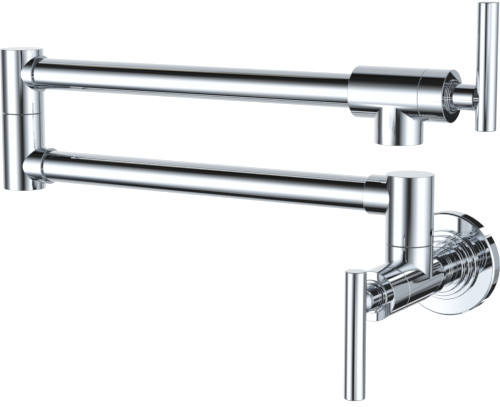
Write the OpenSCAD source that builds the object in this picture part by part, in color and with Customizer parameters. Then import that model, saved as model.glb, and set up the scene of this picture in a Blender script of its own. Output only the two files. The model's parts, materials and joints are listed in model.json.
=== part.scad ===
// Wall mounted pot filler with two folding arms and two quarter turn valves.
// Origin: middle of the flange on the wall. +X right, +Y into the wall, +Z up.
// The arms are folded flat against the wall, both valves are shut.

/* [Arms] */
// Outer diameter of both arm tubes
tube_d = 20; // [18:0.5:21]
// Wall of the arm tubes
tube_wall = 1.2; // [0.8:0.1:1.8]
// Distance between the two swivel axes
arm_length = 273.5; // [200:0.5:340]
// Wall of the collar round each tube end
collar_wall = 1.6; // [1.3:0.1:2]
// From a swivel axis to the end of the tube that its column carries
tube_stop = 9.5; // [9.4:0.1:11]

/* [Columns] */
// Diameter of the base column, its neck and the elbow column
column_d = 27.8; // [27:0.2:32]
// From the wall to the base swivel axis
standoff = 62.1; // [58:0.1:80]
// Height of the base seam above the valve axis
neck_rise = 21.8; // [20.5:0.1:30]
// Height of the lower arm above the base seam
base_rise = 26.4; // [25.5:0.1:34]
// Height of the base column above the lower arm's axis
base_crown = 13.6; // [13:0.1:18]
// Depth of the elbow's foot below the lower arm's axis
elbow_foot = 15.8; // [13:0.1:20]
// Height of the elbow seam above the lower arm's axis
elbow_rise = 33.5; // [28:0.1:45]
// Height of the upper arm above the elbow seam
upper_rise = 25.6; // [25.5:0.1:34]
// Height of the elbow above the upper arm's axis
elbow_crown = 15.4; // [13:0.1:20]
// Reach of the base column's collar from its axis
base_collar = 24.4; // [18:0.1:30]
// Reach of the lower elbow collar from its axis
elbow_low_collar = 21.7; // [18:0.1:30]
// Reach of the upper elbow collar from its axis
elbow_high_collar = 15.7; // [15.2:0.1:24]

/* [Wall flange] */
// Diameter of the flange
flange_d = 62.8; // [55:0.2:80]
// Depth of the flange from the wall to its face
flange_depth = 9.6; // [6:0.1:12]
// Thickness of the flange's rim and plate
flange_wall = 1.6; // [1.2:0.1:2.5]
// Chamfer round the flange face
flange_edge = 0.9; // [0.4:0.1:1.1]
// Diameter of the lock collar's first step, next to the flange
step_1_d = 42; // [40:0.2:46]
// Diameter of the second step
step_2_d = 36.4; // [34:0.2:39]
// Diameter of the third step
step_3_d = 31; // [29:0.2:33]
// Height of the first step
step_1_h = 3; // [2:0.1:4]
// Height of the second step
step_2_h = 3.6; // [2:0.1:5]
// Height of the third step
step_3_h = 3.4; // [2:0.1:5]

/* [Inlet] */
// Major diameter of the half inch pipe thread
thread_d = 20.955; // [20.5:0.005:21.5]
// Length of the nipple behind the wall face
nipple_out = 20; // [12:0.5:40]
// Length of the nipple inside the valve
nipple_grip = 16; // [12:0.5:18]
// Water way of the nipple
nipple_bore = 13; // [11:0.2:14]

/* [Wall valve] */
// Diameter of the valve body
valve_d = 28.2; // [27.2:0.2:32]
// Diameter of the neck between the valve body and the flange
rear_neck_d = 24.4; // [23.6:0.2:26]
// Length of the valve body behind the base swivel axis
valve_tail = 21.8; // [18:0.1:26]
// Length of the valve body in front of the base swivel axis
valve_nose = 28.9; // [26:0.1:34]
// Length of the wall valve's bonnet
wall_bonnet_length = 20.1; // [18:0.1:23]

/* [Spout] */
// Diameter of the spout barrel
barrel_d = 30; // [28:0.2:34]
// From the elbow axis to the start of the barrel
barrel_start = 240.3; // [180:0.1:300]
// Length of the barrel up to its bonnet
barrel_length = 43.4; // [42:0.1:46]
// Length of the spout valve's bonnet
spout_bonnet_length = 14.8; // [13:0.1:17]
// Depth of the tube in the barrel
barrel_grip = 8; // [6:0.1:10]
// Diameter of the nozzle
nozzle_d = 28; // [27:0.2:29.6]
// From the start of the barrel to the nozzle's axis
nozzle_at = 25.7; // [24:0.1:27]
// Depth of the nozzle's mouth below the upper arm's axis
nozzle_drop = 28.2; // [27:0.1:34]

/* [Handles] */
// Diameter of the handle bar
bar_d = 12; // [9:0.2:14]
// Length of the bar on its long side of the hub axis
bar_long = 53; // [35:0.5:60]
// Length of the bar on its short side of the hub axis
bar_short = 18; // [12:0.5:25]
// Chamfer on the bar ends
bar_edge = 0.6; // [0.3:0.1:1.5]
// Diameter of the handle hub
hub_d = 14.6; // [13.6:0.2:18]
// From the bonnet face to the bar's axis
handle_reach = 20; // [19:0.5:26]
// Length of the taper with which the hub ends at the bar
hub_taper = 4.6; // [3.5:0.1:5.2]
// Diameter of the hub at the end of its taper
hub_end_d = 10.6; // [9.6:0.2:11.6]
// Depth to which the hub's saddle holds the bar
saddle_depth = 5.4; // [4.6:0.1:5.8]
// Width of the raised ring round the hub on the bonnet
guard_w = 1.6; // [1:0.1:2]
// Height of the raised ring
guard_h = 1; // [0.6:0.1:2]

/* [Clearances] */
// Seam between a turning column and the one below it
seam_gap = 0.4; // [0.2:0.1:0.6]
// Radial gap of a turning fit
running_gap = 0.1; // [0.05:0.05:0.15]
// Gap round a piece that sits still in its seat
fit_gap = 0.05; // [0.03:0.01:0.1]
// Gap between a handle hub and the bonnet below it
hub_gap = 0.3; // [0.2:0.1:0.6]

/* [Hidden] */
$fn = 96;

// Colours
chrome = "#CBD2D8";
brass = "#C9A85C";
steel = "#9AA0A6";
rubber = "#202224";
ceramic = "#F0EEE8";
plastic = "#E9E9E4";

// Small sizes that several pieces share
overrun = 1;
edge = 0.3;
step_edge = 0.5;
half_gap = seam_gap / 2;

// Radii of the outer forms
tube_r = tube_d / 2;
collar_r = tube_r + collar_wall;
socket_r = tube_r + fit_gap;
column_r = column_d / 2;
flange_r = flange_d / 2;
valve_r = valve_d / 2;
rear_neck_r = rear_neck_d / 2;
barrel_r = barrel_d / 2;
nozzle_r = nozzle_d / 2;
bar_r = bar_d / 2;
hub_r = hub_d / 2;
hub_end_r = hub_end_d / 2;

// Heights above the valve axis
lower_arm_z = neck_rise + base_rise;
elbow_seam_z = lower_arm_z + elbow_rise;
upper_arm_z = elbow_seam_z + upper_rise;

// O-rings of the arm tubes
tube_ring_section = 0.8;
tube_ring_inset = 3.4;

// Inlet end of the valve body
neck_back = 2;
nipple_r = thread_d / 2;
nipple_hex_r = 8;
nipple_hex_depth = 5;
relief_depth = 0.8;
gasket_w = 3.5;
gasket_t = 3;
collar_ring_section = 1.1;
collar_ring_at = 4.2;
collar_gap = 0.1;

// Swivel posts, one at the base and one at the elbow
post_d = 18;
post_r = post_d / 2;
post_bore_r = 5.5;
post_shank_r = 8;
post_grip = 8;
post_top_gap = 0.7;
swivel_bore_r = post_r + running_gap;
way_r = 7.5;
glide_lip = 2.4;
glide_sink = 1;
post_ring_section = 1.1;
post_ring_heights = [2.6, 11.4];
post_base_height = base_rise - socket_r - post_top_gap;
post_elbow_height = upper_rise - socket_r - post_top_gap;

// Set screws that hold the columns on their posts
screw_r = 2;
screw_tip_r = 1.4;
screw_height = 7.1;
screw_sink = 0.5;
screw_groove_depth = 1.2;
screw_room = 0.2;
screw_clear = 0.3;
screw_hex = 1.1;
screw_hex_depth = 1.6;

// Cartridge, measured from its seat towards the handle
cartridge_depth = 44;
seal_t = 1.4;
disc_t = 2.6;
disc_r = 8.6;
port_r = 2.5;
port_at = 4.6;
cartridge_r = 10.2;
cartridge_wall = 1.4;
cartridge_foot = 0.2;
window_w = 7;
window_bottom = 7.2;
window_top = 12;
shoulder_at = 12.9;
cartridge_ring_section = 1.5;
clamp_ring_r = 12.1;
clamp_ring_at = 14.5;
clamp_ring_top = 17;
cap_bottom = 13.4;
gland_r = 7;
gland_drop = 10;
gland_top = cartridge_depth - gland_drop;
chamber_r = 10.9;
mouth_r = clamp_ring_r + running_gap;
seat_way_r = 5.5;
seal_way_r = 6;

// Spindle
spindle_r = 4;
spindle_bore_r = spindle_r + running_gap;
foot_w = 4.6;
foot_r = 7.6;
foot_t = 2.4;
tongue_w = 3;
tongue_t = 1.2;
spindle_ring_section = 0.9;
spindle_ring_drops = [5, 10];
clip_t = 0.8;
clip_r = 5.6;
clip_sink = 0.7;
clip_lift = 0.15;
gland_gap = 0.4;
cavity_r = gland_r + gland_gap;
cavity_room = 2.4;
cavity_top = gland_top + cavity_room;
spindle_way_r = 4.6;
spindle_rise = 11;
spindle_top = cartridge_depth + spindle_rise;
spindle_flat = 0.6;
spindle_flat_length = 9;

// Handle
hub_bottom = cartridge_depth + hub_gap;
bar_at = cartridge_depth + handle_reach;
hub_top = bar_at - bar_r + saddle_depth;
hub_shoulder = hub_top - hub_taper;
hub_edge = 0.4;
socket_top = spindle_top + running_gap;
stud_r = 2;
stud_web = 1;
stud_bottom = spindle_top + stud_web;
stud_short_share = 0.25;
stud_top = bar_at - stud_short_share * bar_r;
stud_room = 0.1;
grub_rise = 6;
grub_height = cartridge_depth + grub_rise;
grub_sink = 0.4;
guard_gap = 0.4;
guard_inner_r = hub_r + guard_gap;
guard_outer_r = guard_inner_r + guard_w;

// Wall valve and spout valve, where their seats lie
wall_seat = standoff + valve_nose + wall_bonnet_length - cartridge_depth;
spout_seat = barrel_start + barrel_length + spout_bonnet_length - cartridge_depth;

// Cored way between the wall valve's chamber and the upright neck
core_w = 8;
core_low = 9;
core_high = 14;
core_reach = 4.5;

// Aerator in the nozzle
aerator_gap = 0.1;
aerator_r = 11.8;
aerator_shell_wall = 1.3;
aerator_sink = 1;
aerator_h = 9.6;
aerator_lip = 0.9;
core_t = 3;
core_hole_r = 0.9;
core_holes = 12;
core_ring_share = 0.72;
core_inner_holes = 6;
core_inner_share = 0.36;
screen_t = 0.6;
screen_pitch = 2.2;
screen_wire = 0.6;
screen_rim = 1;
washer_t = 1.4;
washer_inner_r = 8.5;
drop_way_r = 3.2;

// Turns the upright direction of a shape away from the wall
module outward() {
    rotate([90, 0, 0])
        children();
}

// Lays the upright direction of a shape to the right
module rightward() {
    rotate([0, 90, 0])
        children();
}

// Lays the upright direction of a shape to the left
module leftward() {
    rotate([0, -90, 0])
        children();
}

// Moves a shape up
module raised(height) {
    translate([0, 0, height])
        children();
}

// Base swivel axis, at the height of its seam
module at_base_seam() {
    translate([0, -standoff, neck_rise])
        children();
}

// Elbow swivel axis, at the height of its seam
module at_elbow_seam() {
    translate([-arm_length, -standoff, elbow_seam_z])
        children();
}

// Wall valve, with its seat at the origin and its handle upwards
module in_wall_valve() {
    translate([0, -wall_seat, 0])
        outward()
            children();
}

// Spout valve, with its seat at the origin and its handle upwards
module in_spout_valve() {
    translate([spout_seat - arm_length, -standoff, upper_arm_z])
        rotate([90, 0, 90])
            children();
}

// Round bar that stands on the origin, with both rims chamfered
module bevelled_bar(radius, length, rim) {
    rotate_extrude()
        polygon([
            [0, 0], [radius - rim, 0], [radius, rim], [radius, length - rim],
            [radius - rim, length], [0, length]
        ]);
}

// Flat ring that stands on the origin
module ring(outer, inner, length) {
    rotate_extrude()
        translate([inner, 0])
            square([outer - inner, length]);
}

// O-ring that lies round the origin
module o_ring(inner, section) {
    rotate_extrude()
        translate([inner + section / 2, 0])
            circle(d = section, $fn = 32);
}

// Hexagon socket that opens upwards
module hex_socket(across_r, depth) {
    cylinder(r = across_r, h = depth, $fn = 6);
}

module wall_flange() {
    color(chrome)
        outward()
            rotate_extrude()
                polygon([
                    [rear_neck_r + collar_gap, flange_depth - flange_wall],
                    [rear_neck_r + collar_gap, flange_depth],
                    [flange_r - flange_edge, flange_depth],
                    [flange_r, flange_depth - flange_edge],
                    [flange_r, 0],
                    [flange_r - flange_wall, 0],
                    [flange_r - flange_wall, flange_depth - flange_wall]
                ]);
}

// Foam ring that fills the flange's rim against the wall
module flange_gasket() {
    gasket_r = flange_r - flange_wall - fit_gap;
    color(rubber)
        outward()
            ring(gasket_r, gasket_r - gasket_w, gasket_t);
}

// Stepped collar that holds the flange on the neck
module lock_collar() {
    bore = rear_neck_r + collar_gap;
    top_1 = step_1_h;
    top_2 = top_1 + step_2_h;
    top_3 = top_2 + step_3_h;
    r_1 = step_1_d / 2;
    r_2 = step_2_d / 2;
    r_3 = step_3_d / 2;
    groove_w = collar_ring_section + 2 * fit_gap;
    groove_r = bore + collar_ring_section;
    color(chrome)
        outward()
            raised(flange_depth)
                difference() {
                    rotate_extrude()
                        polygon([
                            [bore, 0], [r_1, 0], [r_1, top_1 - step_edge], [r_1 - step_edge, top_1],
                            [r_2, top_1], [r_2, top_2 - step_edge], [r_2 - step_edge, top_2],
                            [r_3, top_2], [r_3, top_3 - step_edge], [r_3 - step_edge, top_3],
                            [bore, top_3]
                        ]);
                    raised(collar_ring_at - groove_w / 2)
                        cylinder(r = groove_r, h = groove_w);
                }
}

module collar_o_ring() {
    color(rubber)
        outward()
            raised(flange_depth + collar_ring_at)
                o_ring(rear_neck_r + fit_gap, collar_ring_section);
}

// Pipe nipple that screws into the wall outlet and into the valve body
// The thread's relief groove lies at the wall face
module inlet_nipple() {
    length = nipple_out + neck_back + nipple_grip;
    color(brass)
        outward()
            raised(-nipple_out)
                difference() {
                    bevelled_bar(nipple_r, length, step_edge);
                    raised(-overrun)
                        cylinder(d = nipple_bore, h = length + 2 * overrun);
                    raised(length - nipple_hex_depth)
                        hex_socket(nipple_hex_r, nipple_hex_depth + overrun);
                    raised(nipple_out)
                        ring(nipple_r + overrun, nipple_r - relief_depth, neck_back);
                }
}

module valve_body() {
    tail = standoff - valve_tail;
    nipple_end = neck_back + nipple_grip;
    color(chrome)
        difference() {
            union() {
                outward()
                    raised(tail)
                        bevelled_bar(valve_r, valve_tail + valve_nose, edge);
                outward()
                    raised(neck_back)
                        cylinder(r = rear_neck_r, h = tail + overrun - neck_back);
                at_base_seam()
                    raised(-neck_rise)
                        bevelled_bar(column_r, neck_rise - half_gap, edge);
            }
            in_wall_valve()
                valve_chamber(valve_nose + valve_tail);
            in_wall_valve()
                raised(nipple_end - wall_seat)
                    cylinder(r = seat_way_r, h = wall_seat);
            outward()
                raised(neck_back - overrun)
                    cylinder(r = nipple_r + fit_gap, h = nipple_grip + overrun);
            at_base_seam()
                post_seat(neck_rise - core_low - overrun);
            translate([-core_w / 2, -wall_seat - core_reach, core_low])
                cube([core_w, wall_seat + core_reach - standoff, core_high - core_low]);
        }
}

// Space that the cartridge and its bonnet take out of a valve, from the seat upwards
module valve_chamber(length) {
    cylinder(r = chamber_r, h = shoulder_at + overrun);
    raised(shoulder_at)
        cylinder(r = mouth_r, h = length);
}

// Space that a swivel post and its glide ring take out of the column below it
module post_seat(depth) {
    raised(-half_gap - glide_sink)
        cylinder(r = column_r - glide_lip + fit_gap, h = glide_sink + overrun);
    raised(-half_gap - glide_sink - post_grip)
        cylinder(r = post_shank_r + fit_gap, h = post_grip + overrun);
    raised(-depth)
        cylinder(r = post_bore_r, h = depth);
}

// Swivel post, with the seam at the origin
module swivel_post(height) {
    foot = half_gap + glide_sink;
    groove_w = post_ring_section + 2 * fit_gap;
    color(brass)
        difference() {
            union() {
                raised(-foot - post_grip)
                    bevelled_bar(post_shank_r, foot + post_grip, edge);
                raised(-foot)
                    bevelled_bar(post_r, foot + height, edge);
            }
            raised(-foot - post_grip - overrun)
                cylinder(r = post_bore_r, h = foot + post_grip + height + 2 * overrun);
            for (at = post_ring_heights)
                raised(at - groove_w / 2)
                    ring(post_r + overrun, post_r - post_ring_section - fit_gap, groove_w);
            raised(screw_height - screw_tip_r - screw_room)
                ring(post_r + overrun, post_r - screw_groove_depth, 2 * (screw_tip_r + screw_room));
        }
}

module post_o_rings() {
    color(rubber)
        for (at = post_ring_heights)
            raised(at)
                o_ring(post_r - post_ring_section, post_ring_section - fit_gap);
}

// Slippery ring on which the upper column turns
module glide_ring() {
    color(plastic)
        raised(-half_gap - glide_sink)
            ring(column_r - glide_lip, post_r + fit_gap, glide_sink + seam_gap);
}

// Column that turns on a post, with the seam at the origin and its tube collar to the right
module turning_column(rise, crown, reach, post_height) {
    color(chrome)
        difference() {
            union() {
                raised(half_gap)
                    bevelled_bar(column_r, rise + crown - half_gap, edge);
                raised(rise)
                    tube_collar(reach);
            }
            raised(-overrun)
                cylinder(r = swivel_bore_r, h = post_height + post_top_gap / 2 + overrun);
            raised(post_height)
                cylinder(r = way_r, h = rise + way_r - post_height);
            raised(rise)
                tube_socket(reach);
            raised(screw_height)
                leftward()
                    cylinder(r = screw_r + fit_gap, h = column_r + overrun);
        }
}

// Collar round a tube end, from the column's axis to the right
module tube_collar(reach) {
    rightward()
        rotate_extrude()
            polygon([
                [0, 0], [collar_r, 0], [collar_r, reach - edge], [collar_r - edge, reach], [0, reach]
            ]);
}

// Space for a tube end, its O-ring and the water behind it
module tube_socket(reach) {
    groove_w = tube_ring_section + 2 * fit_gap;
    groove_r = socket_r + tube_ring_section;
    rightward() {
        cylinder(r = way_r, h = reach);
        raised(tube_stop)
            cylinder(r = socket_r, h = reach);
        raised(tube_stop + tube_ring_inset - groove_w / 2)
            cylinder(r = groove_r, h = groove_w);
    }
}

// Set screw in a turning column, with the seam at the origin
module set_screw() {
    outer = column_r - screw_sink;
    shaft_end = post_r + screw_clear;
    tip_end = post_r - screw_groove_depth + screw_clear;
    color(steel)
        raised(screw_height)
            leftward()
                difference() {
                    union() {
                        raised(shaft_end)
                            cylinder(r = screw_r, h = outer - shaft_end);
                        raised(tip_end)
                            cylinder(r = screw_tip_r, h = outer - tip_end);
                    }
                    raised(outer - screw_hex_depth)
                        hex_socket(screw_hex, screw_hex_depth + overrun);
                }
}

// Arm tube that lies to the right, from the column's axis
module arm_tube(start, end) {
    color(chrome)
        rightward()
            raised(start)
                ring(tube_r, tube_r - tube_wall, end - start);
}

module tube_o_rings(places) {
    color(rubber)
        rightward()
            for (at = places)
                raised(at)
                    o_ring(tube_r + fit_gap / 2, tube_ring_section - fit_gap);
}

// Bonnet that closes a valve, holds its cartridge and carries the guard ring
module bonnet(radius, length) {
    seam = cartridge_depth - length;
    color(chrome)
        difference() {
            union() {
                raised(seam)
                    bevelled_bar(radius, length, edge);
                raised(clamp_ring_top)
                    cylinder(r = clamp_ring_r, h = seam + overrun - clamp_ring_top);
                raised(cartridge_depth - overrun)
                    bevelled_bar(guard_outer_r, overrun + guard_h, edge);
            }
            raised(clamp_ring_top - overrun)
                cylinder(r = cavity_r, h = cavity_top + overrun - clamp_ring_top);
            raised(cavity_top - overrun)
                cylinder(r = spindle_way_r, h = cartridge_depth);
            raised(cartridge_depth)
                cylinder(r = guard_inner_r, h = guard_h + overrun);
        }
}

// Brass body of the ceramic disc cartridge
module cartridge_body() {
    inner_r = cartridge_r - cartridge_wall;
    color(brass)
        difference() {
            union() {
                raised(cartridge_foot)
                    cylinder(r = cartridge_r, h = clamp_ring_top - cartridge_foot);
                raised(clamp_ring_at)
                    cylinder(r = clamp_ring_r, h = clamp_ring_top - clamp_ring_at);
                raised(clamp_ring_top - overrun)
                    bevelled_bar(gland_r, gland_top + overrun - clamp_ring_top, edge);
            }
            cylinder(r = inner_r, h = cap_bottom);
            raised(cap_bottom - overrun)
                cylinder(r = spindle_bore_r, h = gland_top);
            translate([-window_w / 2, -cartridge_r - overrun, window_bottom])
                cube([window_w, 2 * cartridge_r + 2 * overrun, window_top - window_bottom]);
        }
}

module seat_seal() {
    color(rubber)
        ring(disc_r, seal_way_r, seal_t);
}

// Ceramic disc with its two ports, which lie along X at turn zero
module ceramic_disc(turn, slot) {
    color(ceramic)
        rotate([0, 0, turn])
            difference() {
                cylinder(r = disc_r, h = disc_t);
                for (side = [-1, 1])
                    translate([side * port_at, 0, -overrun])
                        cylinder(r = port_r, h = disc_t + 2 * overrun);
                if (slot)
                    raised(disc_t - tongue_t - fit_gap)
                        spindle_tongue(tongue_w + 2 * fit_gap, foot_r + fit_gap);
            }
}

// Bar across the spindle's foot, which lies along Y
module spindle_tongue(width, radius) {
    intersection() {
        cylinder(r = radius, h = tongue_t + overrun);
        translate([-width / 2, -radius, 0])
            cube([width, 2 * radius, tongue_t + overrun]);
    }
}

module fixed_disc() {
    raised(seal_t)
        ceramic_disc(0, false);
}

module moving_disc() {
    raised(seal_t + disc_t)
        ceramic_disc(90, true);
}

module cartridge_o_ring() {
    color(rubber)
        raised(shoulder_at + cartridge_ring_section / 2 + fit_gap)
            o_ring(cartridge_r + fit_gap, cartridge_ring_section);
}

// Spindle with its foot, its O-ring grooves and the flat for the grub screw
module spindle() {
    foot = seal_t + 2 * disc_t;
    groove_w = spindle_ring_section + 2 * fit_gap;
    clip_at = gland_top + clip_lift;
    color(brass)
        difference() {
            union() {
                raised(foot)
                    cylinder(r = spindle_r, h = spindle_top - foot);
                raised(foot)
                    rotate([0, 0, 90])
                        intersection() {
                            cylinder(r = foot_r, h = foot_t);
                            translate([-foot_w / 2, -foot_r, 0])
                                cube([foot_w, 2 * foot_r, foot_t]);
                        }
                raised(foot - tongue_t)
                    rotate([0, 0, 90])
                        spindle_tongue(tongue_w, foot_r);
            }
            for (drop = spindle_ring_drops)
                raised(gland_top - drop - groove_w / 2)
                    ring(spindle_r + overrun, spindle_r - spindle_ring_section, groove_w);
            raised(clip_at - fit_gap)
                ring(spindle_r + overrun, spindle_r - clip_sink, clip_t + 2 * fit_gap);
            translate([-spindle_r, -spindle_r - overrun, spindle_top - spindle_flat_length])
                cube([2 * spindle_r, overrun + spindle_flat, spindle_flat_length + overrun]);
        }
}

module spindle_o_rings() {
    color(rubber)
        for (drop = spindle_ring_drops)
            raised(gland_top - drop)
                o_ring(spindle_r - spindle_ring_section + fit_gap, spindle_ring_section - fit_gap);
}

// Open spring clip that keeps the spindle in its gland
module spindle_clip() {
    mouth_w = 2 * (spindle_r - clip_sink) - running_gap;
    color(steel)
        raised(gland_top + clip_lift)
            difference() {
                ring(clip_r, spindle_r - clip_sink + fit_gap, clip_t);
                translate([-mouth_w / 2, 0, -overrun])
                    cube([mouth_w, clip_r + overrun, clip_t + 2 * overrun]);
            }
}

// Handle hub with its taper, its socket, its saddle and the hole for the grub screw
module handle_hub() {
    color(chrome)
        difference() {
            rotate_extrude()
                polygon([
                    [0, hub_bottom],
                    [hub_r - hub_edge, hub_bottom],
                    [hub_r, hub_bottom + hub_edge],
                    [hub_r, hub_shoulder],
                    [hub_end_r, hub_top],
                    [0, hub_top]
                ]);
            raised(hub_bottom - overrun)
                cylinder(r = spindle_r + fit_gap, h = socket_top + overrun - hub_bottom);
            raised(stud_bottom - stud_room)
                cylinder(r = stud_r + fit_gap, h = handle_reach);
            raised(bar_at)
                outward()
                    raised(-hub_d)
                        cylinder(r = bar_r + fit_gap, h = 2 * hub_d);
            raised(grub_height)
                outward()
                    cylinder(r = screw_r + fit_gap, h = hub_d);
        }
}

// Handle bar, with its long side to the given side of the hub
module handle_bar(side) {
    rest = side > 0 ? bar_short : bar_long;
    color(chrome)
        difference() {
            translate([0, -rest, bar_at])
                rotate([-90, 0, 0])
                    bevelled_bar(bar_r, bar_long + bar_short, bar_edge);
            raised(stud_bottom)
                cylinder(r = stud_r + fit_gap, h = stud_top + stud_room - stud_bottom);
        }
}

module handle_stud() {
    color(steel)
        raised(stud_bottom)
            bevelled_bar(stud_r, stud_top - stud_bottom, edge);
}

// Grub screw that presses on the spindle's flat from below
module handle_screw() {
    outer = hub_r - grub_sink;
    inner = spindle_r - spindle_flat + fit_gap;
    color(steel)
        raised(grub_height)
            outward()
                difference() {
                    raised(inner)
                        cylinder(r = screw_r, h = outer - inner);
                    raised(outer - screw_hex_depth)
                        hex_socket(screw_hex, screw_hex_depth + overrun);
                }
}

module elbow_lower_column() {
    top = elbow_rise - half_gap;
    seat_bottom = half_gap + glide_sink + post_grip;
    color(chrome)
        translate([-arm_length, -standoff, lower_arm_z])
            difference() {
                union() {
                    raised(-elbow_foot)
                        bevelled_bar(column_r, elbow_foot + top, edge);
                    tube_collar(elbow_low_collar);
                }
                raised(-way_r)
                    cylinder(r = way_r, h = elbow_rise + way_r - seat_bottom - overrun);
                tube_socket(elbow_low_collar);
                raised(elbow_rise)
                    post_seat(seat_bottom + 2 * overrun);
            }
}

module spout_body() {
    length = barrel_length + nozzle_drop;
    pocket = aerator_sink + aerator_h + washer_t;
    color(chrome)
        difference() {
            union() {
                in_spout_valve()
                    raised(barrel_start - spout_seat)
                        bevelled_bar(barrel_r, barrel_length, edge);
                at_nozzle_mouth()
                    bevelled_bar(nozzle_r, nozzle_drop, edge);
            }
            in_spout_valve()
                valve_chamber(length);
            in_spout_valve()
                raised(barrel_start - spout_seat)
                    cylinder(r = seat_way_r, h = spout_seat);
            in_spout_valve()
                raised(barrel_start - spout_seat - overrun)
                    cylinder(r = socket_r, h = barrel_grip + overrun);
            at_nozzle_mouth()
                raised(-overrun)
                    cylinder(r = aerator_r + aerator_gap, h = overrun + pocket);
            in_spout_valve()
                raised((window_bottom + window_top) / 2)
                    outward()
                        cylinder(r = drop_way_r, h = nozzle_drop + washer_t - pocket);
        }
}

// Nozzle axis, at the height of its mouth
module at_nozzle_mouth() {
    translate([barrel_start + nozzle_at - arm_length, -standoff, upper_arm_z - nozzle_drop])
        children();
}

module aerator_shell() {
    inner_r = aerator_r - aerator_shell_wall;
    color(chrome)
        at_nozzle_mouth()
            raised(aerator_sink)
                difference() {
                    bevelled_bar(aerator_r, aerator_h, edge);
                    raised(aerator_lip)
                        cylinder(r = inner_r, h = aerator_h);
                    raised(-overrun)
                        cylinder(r = inner_r - aerator_lip, h = aerator_h);
                }
}

// Flow straightener with two rings of holes
module aerator_core() {
    inner_r = aerator_r - aerator_shell_wall - fit_gap;
    color(plastic)
        at_nozzle_mouth()
            raised(aerator_sink + aerator_lip)
                difference() {
                    cylinder(r = inner_r, h = core_t);
                    for (turn = [0 : core_holes - 1])
                        rotate([0, 0, turn * 360 / core_holes])
                            translate([inner_r * core_ring_share, 0, -overrun])
                                cylinder(r = core_hole_r, h = core_t + 2 * overrun, $fn = 24);
                    for (turn = [0 : core_inner_holes - 1])
                        rotate([0, 0, turn * 360 / core_inner_holes])
                            translate([inner_r * core_inner_share, 0, -overrun])
                                cylinder(r = core_hole_r, h = core_t + 2 * overrun, $fn = 24);
                }
}

// Round screen of crossed wires in a rim
module aerator_screen() {
    inner_r = aerator_r - aerator_shell_wall - fit_gap;
    count = floor((inner_r - screen_rim) / screen_pitch);
    color(steel)
        at_nozzle_mouth()
            raised(aerator_sink + aerator_lip + core_t) {
                ring(inner_r, inner_r - screen_rim, screen_t);
                intersection() {
                    cylinder(r = inner_r - screen_rim / 2, h = screen_t);
                    for (line = [-count : count], turn = [0, 90])
                        rotate([0, 0, turn])
                            translate([line * screen_pitch - screen_wire / 2, -inner_r, 0])
                                cube([screen_wire, 2 * inner_r, screen_t]);
                }
            }
}

module aerator_washer() {
    color(rubber)
        at_nozzle_mouth()
            raised(aerator_sink + aerator_h)
                ring(aerator_r, washer_inner_r, washer_t);
}

module wall_bonnet() {
    in_wall_valve()
        bonnet(valve_r, wall_bonnet_length);
}

module spout_bonnet() {
    in_spout_valve()
        bonnet(barrel_r, spout_bonnet_length);
}

module wall_cartridge_body() {
    in_wall_valve()
        cartridge_body();
}

module wall_seat_seal() {
    in_wall_valve()
        seat_seal();
}

module wall_fixed_disc() {
    in_wall_valve()
        fixed_disc();
}

module wall_cartridge_o_ring() {
    in_wall_valve()
        cartridge_o_ring();
}

module wall_moving_disc() {
    in_wall_valve()
        moving_disc();
}

module wall_spindle() {
    in_wall_valve()
        spindle();
}

module wall_spindle_o_rings() {
    in_wall_valve()
        spindle_o_rings();
}

module wall_spindle_clip() {
    in_wall_valve()
        spindle_clip();
}

module wall_handle_hub() {
    in_wall_valve()
        handle_hub();
}

module wall_handle_stud() {
    in_wall_valve()
        handle_stud();
}

module wall_handle_screw() {
    in_wall_valve()
        handle_screw();
}

module spout_cartridge_body() {
    in_spout_valve()
        cartridge_body();
}

module spout_seat_seal() {
    in_spout_valve()
        seat_seal();
}

module spout_fixed_disc() {
    in_spout_valve()
        fixed_disc();
}

module spout_cartridge_o_ring() {
    in_spout_valve()
        cartridge_o_ring();
}

module spout_moving_disc() {
    in_spout_valve()
        moving_disc();
}

module spout_spindle() {
    in_spout_valve()
        spindle();
}

module spout_spindle_o_rings() {
    in_spout_valve()
        spindle_o_rings();
}

module spout_spindle_clip() {
    in_spout_valve()
        spindle_clip();
}

module spout_handle_hub() {
    in_spout_valve()
        handle_hub();
}

module spout_handle_stud() {
    in_spout_valve()
        handle_stud();
}

module spout_handle_screw() {
    in_spout_valve()
        handle_screw();
}

module wall_handle_bar() {
    in_wall_valve()
        handle_bar(-1);
}

module spout_handle_bar() {
    in_spout_valve()
        handle_bar(1);
}

module base_post_o_rings() {
    at_base_seam()
        post_o_rings();
}

module base_glide_ring() {
    at_base_seam()
        glide_ring();
}

module elbow_post_o_rings() {
    at_elbow_seam()
        post_o_rings();
}

module elbow_glide_ring() {
    at_elbow_seam()
        glide_ring();
}

module base_post() {
    at_base_seam()
        swivel_post(post_base_height);
}

module elbow_post() {
    at_elbow_seam()
        swivel_post(post_elbow_height);
}

module base_column() {
    at_base_seam()
        rotate([0, 0, 180])
            turning_column(base_rise, base_crown, base_collar, post_base_height);
}

module elbow_upper_column() {
    at_elbow_seam()
        turning_column(upper_rise, elbow_crown, elbow_high_collar, post_elbow_height);
}

module base_set_screw() {
    at_base_seam()
        rotate([0, 0, 180])
            set_screw();
}

module elbow_set_screw() {
    at_elbow_seam()
        set_screw();
}

module lower_arm_tube() {
    translate([-arm_length, -standoff, lower_arm_z])
        arm_tube(tube_stop, arm_length - tube_stop);
}

module upper_arm_tube() {
    translate([-arm_length, -standoff, upper_arm_z])
        arm_tube(tube_stop, barrel_start + barrel_grip);
}

module lower_arm_o_rings() {
    inset = tube_stop + tube_ring_inset;
    translate([-arm_length, -standoff, lower_arm_z])
        tube_o_rings([inset, arm_length - inset]);
}

module upper_arm_o_rings() {
    translate([-arm_length, -standoff, upper_arm_z])
        tube_o_rings([tube_stop + tube_ring_inset]);
}

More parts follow.
